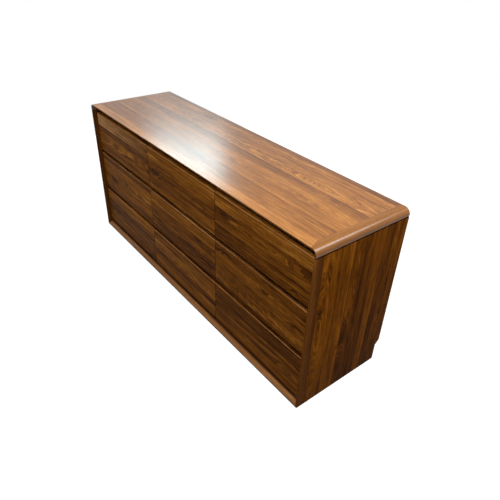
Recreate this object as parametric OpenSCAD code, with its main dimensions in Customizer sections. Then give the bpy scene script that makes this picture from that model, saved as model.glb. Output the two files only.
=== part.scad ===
// Low dresser with nine drawers in three columns and three rows.
// +Z is up and -Y is the front, where the drawers open. The origin is on the floor,
// under the middle of the case.

/* [Case] */
// Overall width
case_w = 1800; // [1650:10:2000]
// Overall depth, from the front edge to the back edge
case_d = 490; // [480:5:560]
// Overall height
case_h = 780; // [740:5:860]
// Thickness of the two sides
side_t = 22; // [20:1:28]
// Thickness of the two partitions
partition_t = 18; // [18:1:24]
// Gap between the drawer fronts and the partitions behind them
partition_gap = 2; // [1:0.5:4]

/* [Top] */
// Thickness of the top panel
top_t = 24; // [20:1:27]
// Depth of the solid lipping along the front of the top
lip_d = 45; // [30:1:60]
// Height of the thin front edge above the undercut
lip_edge = 2; // [1:0.5:4]
// Depth of the undercut below the front edge
undercut_d = 18; // [10:1:25]
// Width of the corner mouldings on the top
corner_w = 45; // [36:1:60]
// Height of the corner mouldings on the sides
corner_h = 33; // [30:1:40]
// Radius of the quarter-round on the corner mouldings
corner_r = 28; // [28:0.5:30]
// Height and depth of the shadow groove below the corner mouldings
shadow_groove = 4; // [1:0.5:5]
// Chamfer on the top edge of the sides
side_chamfer = 2.5; // [1:0.5:5]

/* [Front frame] */
// Depth of the solid stile on the front of each side
stile_d = 40; // [38:1:50]
// Width of the flat front face of each stile
stile_face = 8; // [6:1:17]
// Depth at which the drawer fronts stand behind the front edge
recess_d = 20; // [16:1:24]
// Rounding of the outer front edge of the stiles
stile_round = 3; // [1:0.5:4]
// Depth of the bottom rail
rail_d = 45; // [40:1:70]
// Height of the flat front face of the bottom rail
rail_face = 8; // [5:1:12]

/* [Cross rails] */
// Height of the rails that run across each column, in line with the finger gaps
cross_rail_h = 18; // [14:1:22]
// Depth of the cross rails from front to back
cross_rail_d = 60; // [40:5:90]
// Room for fingers between the drawer fronts and the cross rails
finger_room = 30; // [24:1:40]
// Depth of the housings that hold the ends of the cross rails
cross_housing = 4; // [3:0.5:4]

/* [Base and back] */
// Thickness of the bottom panel
bottom_t = 22; // [18:1:24]
// Height of the glides
glide_h = 4; // [3:0.5:8]
// Radius of the glides
glide_r = 10; // [7:0.5:10]
// Distance of the glides from the front edge, and from the notch or the back panel
glide_inset = 60; // [40:5:90]
// Depth of the notch that clears a skirting board
notch_d = 20; // [12:1:25]
// Height of the straight part of the notch above the floor
notch_h = 84; // [60:2:110]
// Height over which the notch runs out to the back edge
notch_ease = 32; // [16:2:50]
// Thickness of the back panel
back_t = 5; // [4:0.5:6]
// Wood left between the notch and the back panel
back_margin = 8; // [5:1:12]
// Depth of the grooves that hold the back panel
back_groove = 6; // [4:0.5:8]

/* [Drawers] */
// Thickness of the drawer fronts
front_t = 20; // [18:1:22]
// Rounding of the upper front edge of the drawer fronts
front_round = 1.5; // [1:0.5:4]
// Finger gap between one row of fronts and the next
row_gap = 22; // [18:1:26]
// Finger gap between the top row and the underside of the top
top_gap = 25; // [20:1:30]
// Gap between the bottom row and the bottom panel
base_gap = 16; // [12:1:20]
// Gap between neighbouring fronts in a row
column_gap = 3; // [2:0.5:4]
// Gap between the outer fronts and the stiles
end_gap = 2; // [1.5:0.5:4]
// Length of the drawer boxes behind their fronts
box_l = 400; // [340:5:400]
// Height of the drawer boxes
box_h = 156; // [120:2:160]
// Height of the lower edge of a box above the lower edge of its front
box_up = 18; // [12:1:22]
// Thickness of the box sides
box_side_t = 14; // [13:1:16]
// Thickness of the box backs
box_back_t = 12; // [10:1:16]
// How much lower the box backs are than the box sides
back_drop = 8; // [2:1:12]
// Thickness of the drawer bottoms
drawer_bottom_t = 5; // [4:0.5:6]
// Height of the drawer bottoms above the lower edge of the box
drawer_bottom_up = 9; // [7:1:12]
// Depth of the grooves that hold the drawer bottoms
drawer_bottom_groove = 5; // [4:0.5:6]
// Clearance of the drawer bottoms in their grooves
drawer_bottom_gap = 0.3; // [0.1:0.1:0.5]
// Depth of the housings in the fronts that hold the box sides
housing_d = 7; // [5:1:9]
// Gap between a box side and the partition beside it
box_gap = 3; // [2:0.5:5]

/* [Runners] */
// Height of the runner grooves in the box sides
runner_groove_h = 19; // [16:1:24]
// Depth of the runner grooves
runner_groove_d = 8; // [6:0.5:8]
// Length of box side left in front of a groove, which stops the closing drawer
groove_stop = 25; // [15:1:40]
// Clearance between a runner and the bottom of its groove
runner_side_gap = 0.5; // [0.3:0.1:1]
// Clearance above a runner, on which the drawer rides
runner_top_gap = 0.2; // [0.1:0.1:0.4]
// Clearance below a runner
runner_low_gap = 0.8; // [0.5:0.1:1.5]
// Clearance between the end of a runner and the end of its groove
stop_gap = 0.3; // [0.1:0.1:0.5]
// Distance of the runner screws from the runner's ends
runner_screw_inset = 60; // [30:5:100]

/* [Fixings] */
// Radius of a screw's shank
screw_r = 1.75; // [1.5:0.25:2]
// Radius of a screw's head
screw_head_r = 3.5; // [3:0.25:4]
// Height of a screw's head
screw_head_h = 2; // [1.5:0.25:2.5]
// Depth to which a runner screw bites into the wood behind the runner
runner_screw_bite = 7; // [5:0.5:7.5]
// Depth to which a back screw bites into the wood behind the back panel
back_screw_bite = 20; // [12:1:30]
// Screws along each partition
screws_up = 4; // [3:1:6]
// Screws along the bottom panel
screws_across = 7; // [5:1:11]
// Radius of a dowel
dowel_r = 4; // [3:0.5:4]
// Depth of a dowel in the thin way of a panel
dowel_short = 10; // [8:1:11]
// Depth of a dowel in the edge of a panel
dowel_long = 24; // [16:1:30]
// Distance of the outer dowels from the ends of a panel
dowel_inset = 40; // [30:5:60]
// Dowels in a row from front to back
dowels_deep = 4; // [3:1:6]
// Radial clearance of a screw or dowel in its hole
hole_gap = 0.05; // [0.02:0.01:0.1]
// Space left past the point of a screw or dowel
hole_spare = 1; // [0.5:0.25:1.5]

/* [Hidden] */
$fn = 64;
bite = 1; // cutters reach this far past the faces they cut

rows = ["top", "middle", "bottom"];
columns = ["left", "center", "right"];
parts = ["front", "sides", "back", "bottom"];
sides = [-1, 1];

front_y = -case_d / 2;
rear_y = case_d / 2;
side_inner_x = case_w / 2 - side_t;
side_top_z = case_h - corner_h;
top_under_z = case_h - top_t;
base_top_z = glide_h + bottom_t;
back_rear_y = rear_y - notch_d - back_margin;
back_front_y = back_rear_y - back_t;

// Drawer fronts
front_face_y = front_y + recess_d;
front_back_y = front_face_y + front_t;
front_w = (2 * side_inner_x - 2 * end_gap - 2 * column_gap) / 3;
front_h = (top_under_z - top_gap - base_top_z - base_gap - 2 * row_gap) / 3;
pitch_x = front_w + column_gap;
pitch_z = front_h + row_gap;
lowest_front_z = base_top_z + base_gap;

// Partitions stand just behind the drawer fronts
partition_front_y = front_back_y + partition_gap;
partition_x = pitch_x / 2;

// Drawer boxes
box_w = pitch_x - partition_t - 2 * box_gap;
box_rear_y = front_back_y + box_l;
box_inner_w = box_w - 2 * box_side_t;
runner_h = runner_groove_h - runner_top_gap - runner_low_gap;
runner_up = (box_h - runner_groove_h) / 2;
runner_front_y = front_back_y + groove_stop + stop_gap;
runner_l = box_rear_y - runner_front_y;

// Cross rails
cross_rail_y = front_back_y + finger_room;
cross_rail_rear_y = cross_rail_y + cross_rail_d;

// Places of a row of dowels behind a given front edge
function dowel_ys(edge_y) = [for (i = [0:dowels_deep - 1])
    spread(edge_y + dowel_inset, back_front_y - dowel_inset, i, dowels_deep)];

// Place number i of count places spread evenly from first to last
function spread(first, last, i, count) = first + (last - first) * i / (count - 1);

// Middle of a drawer column, with columns numbered from the left
function column_x(column) = (column - 1) * pitch_x;

// Lower edge of the drawer fronts in a row, with rows numbered from the top
function row_z(row) = lowest_front_z + (2 - row) * pitch_z;

// Inner face of the side or partition that stands beside a column
function wall_x(column, side) =
    (column - 1) * side == 1 ? side * side_inner_x
                             : column_x(column) + side * (pitch_x - partition_t) / 2;

// Face of a runner that lies in its groove
function runner_x(column, side) =
    column_x(column) + side * (box_w / 2 - runner_groove_d + runner_side_gap);

// Middle of a runner's height
function runner_mid_z(row) = row_z(row) + box_up + runner_up + runner_low_gap + runner_h / 2;

// Lower face of the cross rail above a row: under the top, or in the middle of a finger gap
function cross_rail_z(row) =
    row == 0 ? top_under_z - cross_rail_h
             : row_z(row) + front_h + (row_gap - cross_rail_h) / 2;

// Runner screws stand near both ends of a runner
runner_screw_ys = [runner_front_y + runner_screw_inset,
                   runner_front_y + runner_l - runner_screw_inset];

module block(low, high) {
    translate(low) cube(high - low);
}

// Extrudes an outline drawn in Y and Z along X
module along_x(from, to) {
    translate([from, 0, 0]) rotate([90, 0, 90]) linear_extrude(to - from) children();
}

// Extrudes an outline drawn in X and Z along Y
module along_y(from, to) {
    translate([0, to, 0]) rotate([90, 0, 0]) linear_extrude(to - from) children();
}

// Draws its children on the right, or mirrored on the left
module on_side(side) {
    if (side > 0) children();
    else mirror([1, 0, 0]) children();
}

// A round bar along X, of a signed length
module bar_x(r, length) {
    rotate([0, length > 0 ? 90 : -90, 0]) cylinder(r = r, h = abs(length));
}

module walnut_veneer() { color([0.50, 0.31, 0.15]) children(); }
module walnut_top() { color([0.70, 0.49, 0.31]) children(); }
module walnut_solid() { color([0.58, 0.38, 0.23]) children(); }
module box_wood() { color([0.78, 0.63, 0.43]) children(); }
module plywood() { color([0.60, 0.45, 0.29]) children(); }

// ---- top ----

module top_panel() {
    walnut_top() difference() {
        block([corner_w - case_w / 2, front_y + lip_d, top_under_z],
              [case_w / 2 - corner_w, rear_y, case_h]);
        for (side = sides) partition_top_dowels(side, hole_gap, hole_spare);
    }
}

// Plan of the lipping, whose ends are mitred against the corner mouldings
module lipping_plan(spare) {
    front_x = case_w / 2 - corner_r;
    rear_x = case_w / 2 - corner_w;
    splay = (front_x - rear_x) / lip_d;
    polygon([[-front_x - spare * splay, front_y - spare], [front_x + spare * splay, front_y - spare],
             [rear_x, front_y + lip_d], [-rear_x, front_y + lip_d]]);
}

module top_lipping() {
    walnut_solid() intersection() {
        along_x(-case_w / 2, case_w / 2)
            polygon([[front_y, case_h], [front_y, case_h - lip_edge],
                     [front_y + undercut_d, top_under_z], [front_y + lip_d, top_under_z],
                     [front_y + lip_d, case_h]]);
        translate([0, 0, top_under_z - bite]) linear_extrude(top_t + 2 * bite) lipping_plan(0);
    }
}

// The undercut as it turns the corner: a flat, a cone round the quarter-round, and a flat
module corner_undercut() {
    slope = (top_t - lip_edge) / undercut_d;
    mid_x = case_w / 2 - corner_r;
    mid_z = case_h - corner_r;
    low_z = side_top_z - bite;
    along_x(mid_x - corner_w, mid_x)
        polygon([[front_y - bite, case_h - lip_edge + bite * slope],
                 [front_y + undercut_d, top_under_z],
                 [front_y + undercut_d, low_z], [front_y - bite, low_z]]);
    translate([mid_x, front_y - bite, mid_z]) rotate([-90, 0, 0])
        cylinder(r1 = corner_r - lip_edge + bite * slope, r2 = corner_r - top_t,
                 h = undercut_d + bite);
    translate([0, 0, low_z]) linear_extrude(mid_z - low_z)
        polygon([[case_w / 2 - lip_edge + bite * slope, front_y - bite],
                 [case_w / 2 - top_t, front_y + undercut_d],
                 [mid_x - corner_w, front_y + undercut_d], [mid_x - corner_w, front_y - bite]]);
}

module corner_moulding(side) {
    walnut_solid() on_side(side) difference() {
        along_y(front_y, rear_y) difference() {
            translate([case_w / 2 - corner_w, side_top_z]) square([corner_w, corner_h]);
            translate([case_w / 2 - corner_r, case_h - corner_r]) difference() {
                square(corner_r + bite);
                circle(r = corner_r);
            }
            translate([case_w / 2 - shadow_groove, side_top_z - bite])
                square([shadow_groove + bite, shadow_groove + bite]);
            translate([case_w / 2 - corner_w - bite, side_top_z - bite])
                square([corner_w - side_t + bite, corner_h - top_t + bite]);
        }
        translate([0, 0, side_top_z - bite])
            linear_extrude(corner_h + 2 * bite) lipping_plan(bite);
        corner_undercut();
        side_top_dowels(hole_gap, hole_spare);
        back_slot();
        cross_rail(0, 2);
    }
}

// ---- sides ----

// Sloping cutter for the upper outer edge of a side and its stile
module side_top_chamfer() {
    along_y(front_y - bite, rear_y + bite)
        polygon([[case_w / 2 - side_chamfer, side_top_z + bite],
                 [case_w / 2 - side_chamfer, side_top_z],
                 [case_w / 2, side_top_z - side_chamfer],
                 [case_w / 2 + bite, side_top_z - side_chamfer],
                 [case_w / 2 + bite, side_top_z + bite]]);
}

// Outline of a side panel in Y and Z, with an eased notch at the rear foot
module side_outline() {
    steps = 16;
    ease = [for (i = [0:steps]) let (t = i / steps)
        [rear_y - notch_d * (1 + cos(180 * t)) / 2, notch_h + notch_ease * t]];
    polygon(concat([[front_y + stile_d, glide_h], [rear_y - notch_d, glide_h]], ease,
                   [[rear_y, side_top_z], [front_y + stile_d, side_top_z]]));
}

// Groove for the back panel, from the foot of a side up into the corner moulding
module back_slot() {
    block([side_inner_x - bite, back_front_y, 0],
          [side_inner_x + back_groove, back_rear_y, top_under_z]);
}

module side_panel(side) {
    column = 1 + side;
    walnut_veneer() difference() {
        on_side(side) difference() {
            along_x(side_inner_x, case_w / 2) side_outline();
            side_top_chamfer();
            back_slot();
            side_top_dowels(hole_gap, hole_spare);
            base_dowels(hole_gap, hole_spare);
        }
        runner_fixings(column, side, hole_gap, hole_spare);
        for (row = [0:2]) cross_rail(row, column);
    }
}

module side_stile(side) {
    walnut_solid() on_side(side) difference() {
        translate([0, 0, glide_h]) linear_extrude(side_top_z - glide_h) difference() {
            polygon([[case_w / 2, front_y], [case_w / 2 - stile_face, front_y],
                     [side_inner_x, front_face_y], [side_inner_x, front_y + stile_d],
                     [case_w / 2, front_y + stile_d]]);
            translate([case_w / 2 - stile_round, front_y + stile_round]) difference() {
                translate([0, -stile_round - bite])
                    square([stile_round + bite, stile_round + bite]);
                circle(r = stile_round);
            }
        }
        side_top_chamfer();
    }
}

// ---- base, partitions and back ----

module bottom_panel() {
    plywood() difference() {
        block([-side_inner_x, front_y + rail_d, glide_h], [side_inner_x, back_front_y, base_top_z]);
        for (side = sides) {
            on_side(side) base_dowels(hole_gap, hole_spare);
            partition_foot_dowels(side, hole_gap, hole_spare);
        }
        base_back_screws(hole_gap, hole_spare);
    }
}

// The rail's ends follow the splay of the stiles
module bottom_rail() {
    end_x = case_w / 2 - stile_face;
    rail_rear_y = front_y + rail_d;
    walnut_solid() intersection() {
        along_x(-end_x, end_x)
            polygon([[front_y, glide_h], [front_y, glide_h + rail_face],
                     [front_face_y, base_top_z], [rail_rear_y, base_top_z],
                     [rail_rear_y, glide_h]]);
        translate([0, 0, glide_h - bite]) linear_extrude(bottom_t + 2 * bite)
            polygon([[-end_x, front_y], [end_x, front_y], [side_inner_x, front_face_y],
                     [side_inner_x, rail_rear_y], [-side_inner_x, rail_rear_y],
                     [-side_inner_x, front_face_y]]);
    }
}

module partition(side) {
    walnut_veneer() difference() {
        block([side * partition_x - partition_t / 2, partition_front_y, base_top_z],
              [side * partition_x + partition_t / 2, back_front_y, top_under_z]);
        partition_top_dowels(side, hole_gap, hole_spare);
        partition_foot_dowels(side, hole_gap, hole_spare);
        partition_back_screws(side, hole_gap, hole_spare);
        runner_fixings(1, side, hole_gap, hole_spare);
        runner_fixings(1 + side, -side, hole_gap, hole_spare);
        for (row = [0:2]) for (column = [1, 1 + side]) cross_rail(row, column);
    }
}

// One rail across one column, with its ends let into the sides and partitions
module cross_rail(row, column) {
    low_z = cross_rail_z(row);
    block([wall_x(column, -1) - cross_housing, cross_rail_y, low_z],
          [wall_x(column, 1) + cross_housing, cross_rail_rear_y, low_z + cross_rail_h]);
}

module cross_rails(row) {
    walnut_veneer() for (column = [0:2]) cross_rail(row, column);
}

module back_panel() {
    reach = side_inner_x + back_groove - hole_spare;
    plywood() difference() {
        block([-reach, back_front_y, glide_h], [reach, back_rear_y, top_under_z]);
        base_back_screws(hole_gap, hole_spare);
        for (side = sides) partition_back_screws(side, hole_gap, hole_spare);
    }
}

module glides() {
    color("ivory") for (side = sides) {
        for (y = [front_y + glide_inset, rear_y - notch_d - glide_inset])
            translate([side * (case_w / 2 - side_t / 2), y, 0]) cylinder(r = glide_r, h = glide_h);
        for (y = [front_y + glide_inset, back_front_y - glide_inset])
            translate([side * partition_x, y, 0]) cylinder(r = glide_r, h = glide_h);
    }
}

// ---- dowels: drawn with no clearance as pieces, and with clearance as cutters ----

module dowel(down, up, gap, spare) {
    translate([0, 0, -down - spare]) cylinder(r = dowel_r + gap, h = down + up + 2 * spare);
}

module side_top_dowels(gap, spare) {
    for (y = dowel_ys(partition_front_y)) translate([case_w / 2 - side_t / 2, y, side_top_z])
        dowel(dowel_long, dowel_short, gap, spare);
}

module base_dowels(gap, spare) {
    for (y = dowel_ys(partition_front_y))
        translate([side_inner_x, y, glide_h + bottom_t / 2]) rotate([0, 90, 0])
            dowel(dowel_long, dowel_short, gap, spare);
}

module partition_top_dowels(side, gap, spare) {
    for (y = dowel_ys(cross_rail_rear_y)) translate([side * partition_x, y, top_under_z])
        dowel(dowel_long, dowel_short, gap, spare);
}

module partition_foot_dowels(side, gap, spare) {
    for (y = dowel_ys(partition_front_y)) translate([side * partition_x, y, base_top_z])
        dowel(dowel_short, dowel_long, gap, spare);
}

module case_dowels() {
    color("burlywood") for (side = sides) {
        on_side(side) {
            side_top_dowels(0, 0);
            base_dowels(0, 0);
        }
        partition_top_dowels(side, 0, 0);
        partition_foot_dowels(side, 0, 0);
    }
}

// ---- screws: drawn with no clearance as pieces, and with clearance as cutters ----

// A pan-head screw that enters from the rear of the back panel and points to the front
module back_screw(gap, spare) {
    rotate([90, 0, 0]) {
        cylinder(r = screw_r + gap, h = back_t + back_screw_bite + spare);
        translate([0, 0, -screw_head_h]) cylinder(r = screw_head_r, h = screw_head_h);
    }
}

module base_back_screws(gap, spare) {
    reach = side_inner_x - dowel_inset;
    for (i = [0:screws_across - 1])
        translate([spread(-reach, reach, i, screws_across), back_rear_y, glide_h + bottom_t / 2])
            back_screw(gap, spare);
}

module partition_back_screws(side, gap, spare) {
    for (i = [0:screws_up - 1])
        translate([side * partition_x, back_rear_y,
                   spread(base_top_z + 2 * dowel_inset, top_under_z - 2 * dowel_inset, i, screws_up)])
            back_screw(gap, spare);
}

module back_screws() {
    color("silver") {
        base_back_screws(0, 0);
        for (side = sides) partition_back_screws(side, 0, 0);
    }
}

// The countersunk screws of one column's runners on one side
module runner_fixings(column, side, gap, spare) {
    runner_t = abs(wall_x(column, side) - runner_x(column, side));
    for (row = [0:2]) for (y = runner_screw_ys)
        translate([runner_x(column, side), y, runner_mid_z(row)]) {
            bar_x(screw_r + gap, side * (runner_t + runner_screw_bite + spare));
            rotate([0, side * 90, 0])
                cylinder(r1 = screw_head_r + gap, r2 = screw_r + gap, h = screw_head_h);
        }
}

module runner_screws() {
    color("silver") for (column = [0:2]) for (side = sides) runner_fixings(column, side, 0, 0);
}

// ---- runners ----

module runners(column) {
    color("tan") for (side = sides) difference() {
        for (row = [0:2]) {
            ends = side > 0 ? [runner_x(column, side), wall_x(column, side)]
                            : [wall_x(column, side), runner_x(column, side)];
            block([ends[0], runner_front_y, runner_mid_z(row) - runner_h / 2],
                  [ends[1], runner_front_y + runner_l, runner_mid_z(row) + runner_h / 2]);
        }
        runner_fixings(column, side, hole_gap, hole_spare);
    }
}

// ---- drawers ----

// Moves a drawer piece, drawn from the middle and lower edge of its front, to its place
module in_drawer(row, column) {
    translate([column_x(column), 0, row_z(row)]) children();
}

// Outline of a drawer front in Y and Z, with its upper front edge rounded
module front_outline() {
    difference() {
        translate([front_face_y, 0]) square([front_t, front_h]);
        translate([front_face_y + front_round, front_h - front_round]) difference() {
            translate([-front_round - bite, 0]) square(front_round + bite);
            circle(r = front_round);
        }
    }
}

// One box side as a plain board, which also cuts its housing in the front
module side_board(side) {
    low_x = side > 0 ? box_w / 2 - box_side_t : -box_w / 2;
    block([low_x, front_back_y - housing_d, box_up],
          [low_x + box_side_t, box_rear_y, box_up + box_h]);
}

module drawer_bottom_board(spare) {
    reach = box_inner_w / 2 + drawer_bottom_groove - spare;
    block([-reach, front_back_y - drawer_bottom_groove + spare, box_up + drawer_bottom_up],
          [reach, box_rear_y, box_up + drawer_bottom_up + drawer_bottom_t]);
}

module drawer_front(row, column) {
    walnut_veneer() in_drawer(row, column) difference() {
        along_x(-front_w / 2, front_w / 2) front_outline();
        for (side = sides) side_board(side);
        drawer_bottom_board(0);
    }
}

module drawer_sides(row, column) {
    groove_z = box_up + runner_up;
    box_wood() in_drawer(row, column) for (side = sides) difference() {
        side_board(side);
        on_side(side) block([box_w / 2 - runner_groove_d, front_back_y + groove_stop, groove_z],
                            [box_w / 2 + bite, box_rear_y + bite, groove_z + runner_groove_h]);
        translate([0, bite, 0]) drawer_bottom_board(0);
        drawer_bottom_board(0);
    }
}

module drawer_back(row, column) {
    box_wood() in_drawer(row, column)
        block([-box_inner_w / 2, box_rear_y - box_back_t,
               box_up + drawer_bottom_up + drawer_bottom_t],
              [box_inner_w / 2, box_rear_y, box_up + box_h - back_drop]);
}

module drawer_bottom(row, column) {
    plywood() in_drawer(row, column) drawer_bottom_board(drawer_bottom_gap);
}

top_panel();
top_lipping();
corner_moulding(-1);  // corner_moulding_left
corner_moulding(1);  // corner_moulding_right
side_panel(-1);  // side_panel_left
side_panel(1);  // side_panel_right
side_stile(-1);  // side_stile_left
side_stile(1);  // side_stile_right
bottom_panel();
bottom_rail();
partition(-1);  // partition_left
partition(1);  // partition_right
back_panel();
cross_rails(0);  // top_cross_rails
cross_rails(1);  // upper_cross_rails
cross_rails(2);  // lower_cross_rails
runners(0);  // runners_left
runners(1);  // runners_center
runners(2);  // runners_right
runner_screws();
back_screws();
case_dowels();
glides();
for (r = [0:2]) for (c = [0:2]) {
    name = str("drawer_", rows[r], "_", columns[c], "_");
    drawer_front(r, c);
    drawer_sides(r, c);
    drawer_back(r, c);
    drawer_bottom(r, c);
}
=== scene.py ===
"""Looks of a low walnut dresser with nine drawers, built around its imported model.

Lengths are in metres. +X is to the right, +Y to the back and +Z up; the drawers open to -Y.
Each piece keeps its mesh and gets a material of its own: boards laid side by side, whose figure
is worked out from the way a log is sawn.
"""

import logging
import math
from collections.abc import Iterable, Mapping
from dataclasses import dataclass, replace
from enum import Enum
from typing import NamedTuple

import bpy
import numpy as np
from mathutils import Matrix, Vector


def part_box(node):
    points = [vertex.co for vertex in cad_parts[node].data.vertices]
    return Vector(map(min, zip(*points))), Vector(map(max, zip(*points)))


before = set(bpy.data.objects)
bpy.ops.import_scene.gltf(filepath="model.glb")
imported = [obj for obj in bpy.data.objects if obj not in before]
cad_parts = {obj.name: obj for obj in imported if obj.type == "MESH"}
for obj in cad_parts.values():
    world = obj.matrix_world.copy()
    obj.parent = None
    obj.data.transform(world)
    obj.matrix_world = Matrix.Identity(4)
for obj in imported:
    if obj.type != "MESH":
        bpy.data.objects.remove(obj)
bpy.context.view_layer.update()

log = logging.getLogger("dresser")

ROWS = ("top", "middle", "bottom")
COLUMNS = ("left", "center", "right")
SIDES = ("left", "right")

Colour = tuple[float, float, float]
Socket = bpy.types.NodeSocket
Value = Socket | float | Colour
Stops = Iterable[tuple[float, Colour]]


# ---- node graphs ----


def opaque(colour: Value) -> Socket | tuple[float, ...]:
    """Adds an alpha of 1 to a plain colour, and leaves a socket as it is."""
    return colour if isinstance(colour, Socket) else (*colour[:3], 1.0)


class Graph:
    """Short forms for building one node tree."""

    def __init__(self, tree: bpy.types.NodeTree) -> None:
        """Empties the tree and keeps it."""
        self.tree = tree
        tree.nodes.clear()

    def add(self, kind: str, inputs: Mapping[str | int, Value] | None = None,
            **settings: object) -> bpy.types.Node:
        """Adds a node.

        Args:
            kind: The node's type name.
            inputs: What each input gets, a socket or a plain value, by name or number.
            **settings: The node's own properties.

        Returns:
            The new node.
        """
        node = self.tree.nodes.new(kind)
        for name, value in settings.items():
            setattr(node, name, value)
        for key, value in (inputs or {}).items():
            self.feed(node.inputs[key], value)
        return node

    def feed(self, target: Socket, value: Value) -> None:
        """Links a socket to an input, or sets the input to a plain value.

        Args:
            target: The input.
            value: A socket or a plain value.
        """
        if isinstance(value, Socket):
            self.tree.links.new(value, target)
        else:
            target.default_value = value

    def math(self, operation: str, *values: Value) -> Socket:
        """Returns the result of a Math node on one to three values."""
        node = self.add("ShaderNodeMath", dict(enumerate(values)), operation=operation)
        return node.outputs[0]

    def span(self, value: Value, low: float, high: float,
             to: tuple[float, float] = (0.0, 1.0)) -> Socket:
        """Maps low..high to the range `to`, clamped at its ends."""
        node = self.add("ShaderNodeMapRange", {0: value, 1: low, 2: high, 3: to[0], 4: to[1]})
        return node.outputs[0]

    def vector(self, x: Value, y: Value, z: Value) -> Socket:
        """Returns a vector made of three values."""
        return self.add("ShaderNodeCombineXYZ", {0: x, 1: y, 2: z}).outputs[0]

    def noise(self, place: Socket, detail: float, roughness: float = 0.5) -> Socket:
        """Returns a noise of mean 0.5 in cells one unit of `place` wide, with finer detail."""
        inputs = {"Vector": place, "Scale": 1.0, "Detail": detail, "Roughness": roughness}
        return self.add("ShaderNodeTexNoise", inputs).outputs["Fac"]

    def blend(self, factor: Value, a: Value, b: Value, kind: str = "MIX") -> Socket:
        """Blends colour a into colour b.

        Args:
            factor: How much of b there is, from 0 to 1.
            a: The first colour, a socket or three channels.
            b: The second colour.
            kind: How b is laid over a.

        Returns:
            The blended colour.
        """
        node = self.add("ShaderNodeMix", data_type="RGBA", blend_type=kind)
        self.feed(node.inputs["Factor"], factor)
        for name, value in (("A", a), ("B", b)):
            target = next(s for s in node.inputs if s.name == name and s.type == "RGBA")
            self.feed(target, opaque(value))
        return next(s for s in node.outputs if s.type == "RGBA")

    def ramp(self, value: Value, stops: Stops, steps: bool = False) -> Socket:
        """Reads a ramp of colours.

        Args:
            value: Where to read the ramp, from 0 to 1.
            stops: Pairs of place and colour, from low to high.
            steps: Whether the colour jumps at each stop.

        Returns:
            The colour at that place.
        """
        node = self.add("ShaderNodeValToRGB", {"Fac": value})
        bar = node.color_ramp
        bar.interpolation = "CONSTANT" if steps else "LINEAR"
        while len(bar.elements) > 1:
            bar.elements.remove(bar.elements[-1])
        for count, (place, colour) in enumerate(stops):
            stop = bar.elements[0] if count == 0 else bar.elements.new(place)
            stop.position = place
            stop.color = opaque(colour)
        return node.outputs["Color"]

    def seen(self) -> Socket:
        """Tells the rays that show a surface from those that only light it.

        Returns:
            1 for camera, gloss and transmission rays, 0 for all others.
        """
        path = self.add("ShaderNodeLightPath").outputs
        return self.math("MAXIMUM", path["Is Camera Ray"],
                         self.math("MAXIMUM", path["Is Glossy Ray"], path["Is Transmission Ray"]))

    def channels(self, colour: Socket) -> tuple[Socket, Socket, Socket]:
        """Splits a colour into its three channels."""
        return tuple(self.add("ShaderNodeSeparateColor", {0: colour}).outputs[:3])


def packed(value: float) -> float:
    """Maps -1..1 to 0..1, since a ramp holds nothing below 0."""
    return (value + 1.0) / 2


def unpacked(g: Graph, value: Socket) -> Socket:
    """Maps the 0..1 of a packed value back to -1..1."""
    return g.span(value, 0.0, 1.0, (-1.0, 1.0))


# ---- wood ----


class Lay(Enum):
    """How boards lie in a piece: the axes of their grain, their width and their thickness."""

    FLAT = (0, 1, 2)
    FRONT = (0, 2, 1)
    SIDE = (2, 1, 0)
    BACK = (2, 0, 1)
    BOX_SIDE = (1, 2, 0)
    RUNNING_BACK = (1, 0, 2)

    @property
    def grain_axis(self) -> int:
        """The axis along which the grain runs."""
        return self.value[0]

    @property
    def width_axis(self) -> int:
        """The axis along which one board follows another."""
        return self.value[1]


class Place(NamedTuple):
    """Where a figure is read: along the grain, across it and into the wood."""

    along: Socket
    across: Socket
    depth: Socket


@dataclass(frozen=True)
class Board:
    """One board of a panel.

    Attributes:
        width: Width across the grain.
        tone: Mean lightness, from 0 for the darkest heartwood to 1 for the palest.
        lean: How much lighter its last edge is than its first.
        heart: Distance from the board's middle to the line over the log's heart. Arches show
            where this line lies on the board, and the grain is straight where it lies far off.
        arch_at: Place of the arches' tip along the grain.
        curl: Strength of the ripples across the grain, from 0 to 1.
        rise: How much lighter it is one metre further along the grain.
        blush_and_sheen: How much cool cast it has, from 0 to 1: the cast of fresh heartwood on some
            boards, and a painted sheen and a painted highlight on others.
        slope: How steeply the cut runs up over the heart: a steep one gives short arches.
        rings: How strongly the growth rings show.
    """

    width: float
    tone: float = 0.55
    lean: float = 0.0
    heart: float = 0.11
    arch_at: float = 0.0
    curl: float = 0.08
    rise: float = 0.0
    blush_and_sheen: float = 0.0
    slope: float = 0.07
    rings: float = 0.12


@dataclass(frozen=True)
class Knot:
    """A small knot or burr, which darkens the wood and turns the grain aside.

    Attributes:
        along: Its place along the grain.
        across: Its place across the grain.
        size: Its half width across the grain.
        dark: How much its middle is darker.
        turn: How far it pushes the growth rings aside, in its own half widths.
        stretch: How many times it is longer than wide.
        reach: How far it acts, in its own half widths.
        core: How sharply the darkening is drawn to its middle.
    """

    along: float
    across: float
    size: float = 0.012
    dark: float = 0.4
    turn: float = 1.6
    stretch: float = 3.0
    reach: float = 2.6
    core: float = 3.0

    def nearness(self, g: Graph, place: Place) -> Socket:
        """Works out how near a place is to the knot: 1 at its middle, 0 from its reach on.

        The distance is the root of the sum of the squares of the distances along and across the
        grain, each over the knot's half size that way.

        Args:
            g: The material's graph.
            place: The place.

        Returns:
            The nearness, which falls off smoothly.
        """
        u = g.math("DIVIDE", g.math("SUBTRACT", place.along, self.along),
                   self.stretch * self.size)
        v = g.math("DIVIDE", g.math("SUBTRACT", place.across, self.across), self.size)
        away = g.math("SQRT", g.math("ADD", g.math("MULTIPLY", u, u), g.math("MULTIPLY", v, v)))
        fade = g.add("ShaderNodeMapRange", {0: away, 1: self.reach, 2: 0.0, 3: 0.0, 4: 1.0},
                     interpolation_type="SMOOTHERSTEP")
        return fade.outputs[0]


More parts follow.
